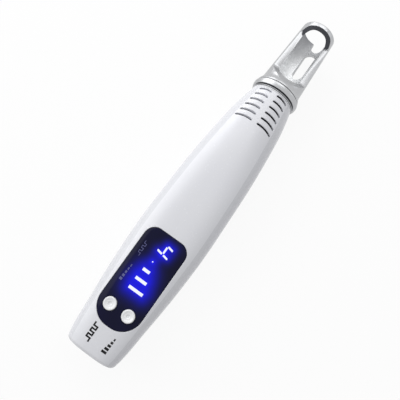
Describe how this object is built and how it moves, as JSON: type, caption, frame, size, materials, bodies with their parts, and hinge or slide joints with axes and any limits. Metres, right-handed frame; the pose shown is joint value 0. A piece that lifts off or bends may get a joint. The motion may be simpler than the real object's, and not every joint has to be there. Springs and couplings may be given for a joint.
{
  "type": "picosecond laser pen",
  "caption": "Handheld laser pen: white two-part casing with a dark display window, round push buttons, vent slots and an open metal guard at the tip.",
  "frame": {"origin": "on the surface the pen lies on, under the middle of its length and width", "axes": "+X from the power inlet to the tip, +Z towards the display, +Y across the pen"},
  "size_m": [0.2108, 0.0382, 0.0296],
  "materials": {
    "shell": "glossy moulded white",
    "window": "polished dark blue-black acrylic",
    "button": "satin white",
    "trigger": "matt grey",
    "guard": "polished",
    "collar": "turned and polished",
    "heat_sink": "extruded",
    "brass": "turned",
    "steel": "plated",
    "board": "green solder mask",
    "black_plastic": "moulded",
    "rubber": "matt",
    "optic": "polished, coated",
    "ferrite": "sintered",
    "red_lead": "insulation",
    "black_lead": "insulation",
    "ribbon": "insulation"
  },
  "bodies": {
    "casing": {"front_shell": "shell", "back_shell": "shell", "display_window": "window", "main_board": "board", "display_module": "black_plastic", "frequency_switch": "black_plastic", "intensity_switch": "black_plastic", "trigger_switch": "black_plastic", "trigger_board": "board", "driver_board": "board", "driver_inductor": "ferrite", "driver_capacitor": "black_plastic", "link_ribbon": "ribbon", "dc_jack": "black_plastic", "jack_lead_red": "red_lead", "jack_lead_black": "black_lead", "fan_frame": "black_plastic", "fan_lead": "red_lead", "laser_barrel": "heat_sink", "laser_diode": "steel", "focus_lens": "optic", "lens_retainer": "brass", "heat_sink": "heat_sink", "protective_glass": "optic", "laser_lead_red": "red_lead", "laser_lead_black": "black_lead", "trigger_lead": "black_lead", "nose_gasket": "rubber", "nozzle_collar": "collar", "spacer_guard": "guard", "shell_screw_1": "steel", "shell_screw_2": "steel", "shell_screw_3": "steel", "shell_screw_4": "steel", "board_screw_1": "steel", "board_screw_2": "steel", "driver_screw_1": "steel", "driver_screw_2": "steel", "trigger_screw_1": "steel", "trigger_screw_2": "steel"},
    "frequency_key": {"frequency_button": "button"},
    "intensity_key": {"intensity_button": "button"},
    "trigger_key": {"trigger_button": "trigger"},
    "frequency_pin": {"frequency_plunger": "button"},
    "intensity_pin": {"intensity_plunger": "button"},
    "trigger_pin": {"trigger_plunger": "button"},
    "rotor": {"fan_rotor": "black_plastic"}
  },
  "joints": [
    {"name": "frequency_press", "type": "slide", "parent": "casing", "child": "frequency_key", "axis": [0, 0, -1], "range_m": [0, 0.0004], "stiffness_N_per_m": 1500, "springref_m": -0.0006},
    {"name": "intensity_press", "type": "slide", "parent": "casing", "child": "intensity_key", "axis": [0, 0, -1], "range_m": [0, 0.0004], "stiffness_N_per_m": 1500, "springref_m": -0.0006},
    {"name": "trigger_press", "type": "slide", "parent": "casing", "child": "trigger_key", "axis": [0, 0, 1], "range_m": [0, 0.0007], "stiffness_N_per_m": 1500, "springref_m": -0.0006},
    {"name": "frequency_pin_press", "type": "slide", "parent": "casing", "child": "frequency_pin", "axis": [0, 0, -1], "range_m": [0, 0.0004]},
    {"name": "intensity_pin_press", "type": "slide", "parent": "casing", "child": "intensity_pin", "axis": [0, 0, -1], "range_m": [0, 0.0004]},
    {"name": "trigger_pin_press", "type": "slide", "parent": "casing", "child": "trigger_pin", "axis": [0, 0, 1], "range_m": [0, 0.0007]},
    {"name": "fan_spin", "type": "hinge", "parent": "casing", "child": "rotor", "pos_m": [0.0265, 0, 0.0151], "axis": [1, 0, 0], "continuous": true}
  ],
  "couplings": [
    {"joint": "frequency_pin_press", "follows": "frequency_press", "ratio": 1},
    {"joint": "intensity_pin_press", "follows": "intensity_press", "ratio": 1},
    {"joint": "trigger_pin_press", "follows": "trigger_press", "ratio": 1}
  ]
}
